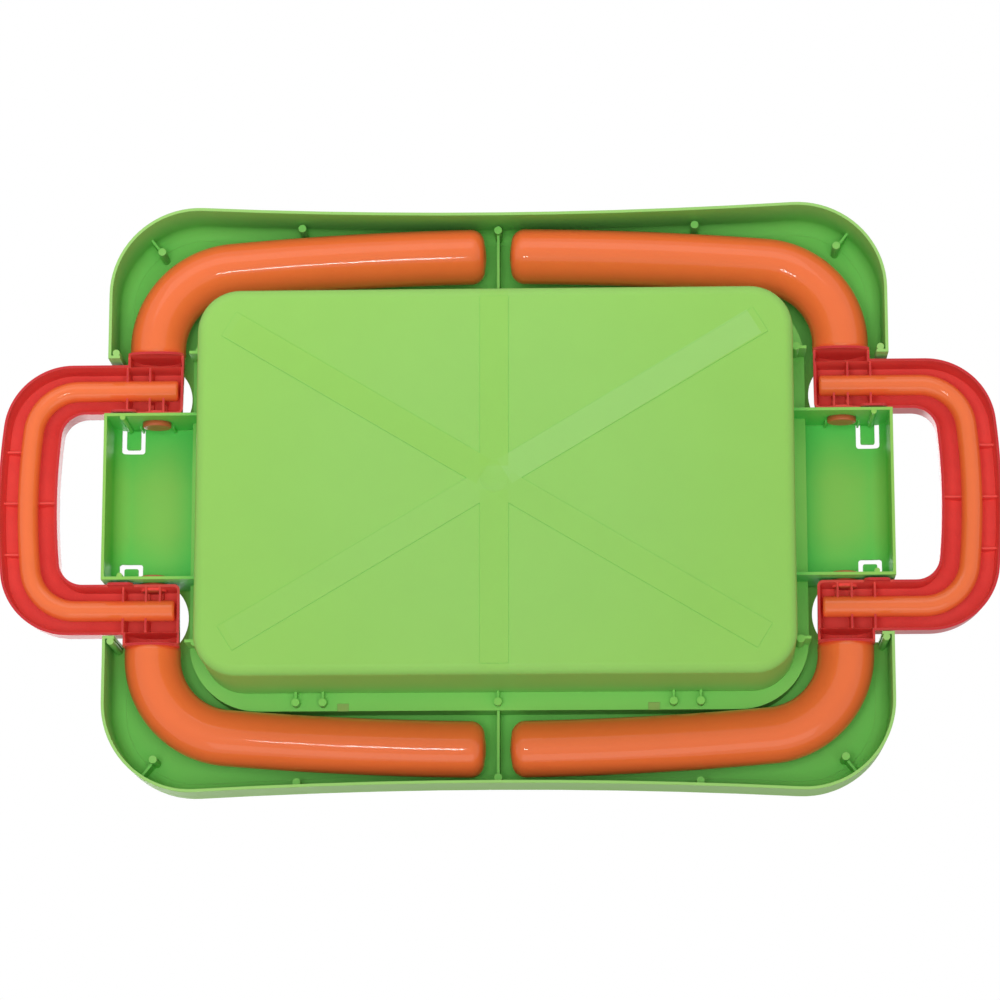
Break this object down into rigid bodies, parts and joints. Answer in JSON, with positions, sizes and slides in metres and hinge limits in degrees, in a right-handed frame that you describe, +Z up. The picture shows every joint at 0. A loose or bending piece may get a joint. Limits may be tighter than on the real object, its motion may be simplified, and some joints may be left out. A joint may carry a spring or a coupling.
{
  "type": "sand and water table",
  "caption": "Children's play table with an open moulded tub, swing-out tubular legs and D-shaped carrying handles that turn on pivot pins at both ends; shown folded.",
  "frame": {"origin": "middle of the tub's underside, on the surface the folded table rests on", "axes": "+X along the table towards the right handle, +Y across to the rear long side, +Z up out of the tub"},
  "size_m": [1.0092, 0.5976, 0.149],
  "materials": {
    "green_moulding": "satin injection-moulded polypropylene",
    "orange_blow_moulding": "glossy blow-moulded polyethylene",
    "red_tray": "satin injection-moulded polypropylene",
    "pin": "satin moulded nylon"
  },
  "bodies": {
    "table": {"tub": "green_moulding", "skirt_front": "green_moulding", "skirt_rear": "green_moulding", "deck_front": "green_moulding", "deck_rear": "green_moulding", "end_box_left": "green_moulding", "end_box_right": "green_moulding"},
    "swing_frame_left": {"handle_tray_left": "red_tray", "grip_tube_left": "orange_blow_moulding", "leg_left_front": "orange_blow_moulding", "leg_left_rear": "orange_blow_moulding", "pivot_pin_left_front": "pin", "pivot_pin_left_rear": "pin"},
    "swing_frame_right": {"handle_tray_right": "red_tray", "grip_tube_right": "orange_blow_moulding", "leg_right_front": "orange_blow_moulding", "leg_right_rear": "orange_blow_moulding", "pivot_pin_right_front": "pin", "pivot_pin_right_rear": "pin"},
    "tongue_left_front": {"snap_tongue_left_front": "green_moulding"},
    "tongue_left_rear": {"snap_tongue_left_rear": "green_moulding"},
    "tongue_right_front": {"snap_tongue_right_front": "green_moulding"},
    "tongue_right_rear": {"snap_tongue_right_rear": "green_moulding"}
  },
  "joints": [
    {"name": "swing_left", "type": "hinge", "parent": "table", "child": "swing_frame_left", "pos_m": [-0.347, 0, 0.11], "axis": [0, 1, 0], "range_deg": [0, 90]},
    {"name": "swing_right", "type": "hinge", "parent": "table", "child": "swing_frame_right", "pos_m": [0.347, 0, 0.11], "axis": [0, -1, 0], "range_deg": [0, 90]},
    {"name": "flex_left_front", "type": "hinge", "parent": "table", "child": "tongue_left_front", "pos_m": [-0.3752, -0.0807, 0.1475], "axis": [-1, 0, 0], "range_deg": [0, 6], "stiffness_Nm_per_rad": 2},
    {"name": "flex_left_rear", "type": "hinge", "parent": "table", "child": "tongue_left_rear", "pos_m": [-0.3752, 0.0807, 0.1475], "axis": [1, 0, 0], "range_deg": [0, 6], "stiffness_Nm_per_rad": 2},
    {"name": "flex_right_front", "type": "hinge", "parent": "table", "child": "tongue_right_front", "pos_m": [0.3752, -0.0807, 0.1475], "axis": [-1, 0, 0], "range_deg": [0, 6], "stiffness_Nm_per_rad": 2},
    {"name": "flex_right_rear", "type": "hinge", "parent": "table", "child": "tongue_right_rear", "pos_m": [0.3752, 0.0807, 0.1475], "axis": [1, 0, 0], "range_deg": [0, 6], "stiffness_Nm_per_rad": 2}
  ]
}
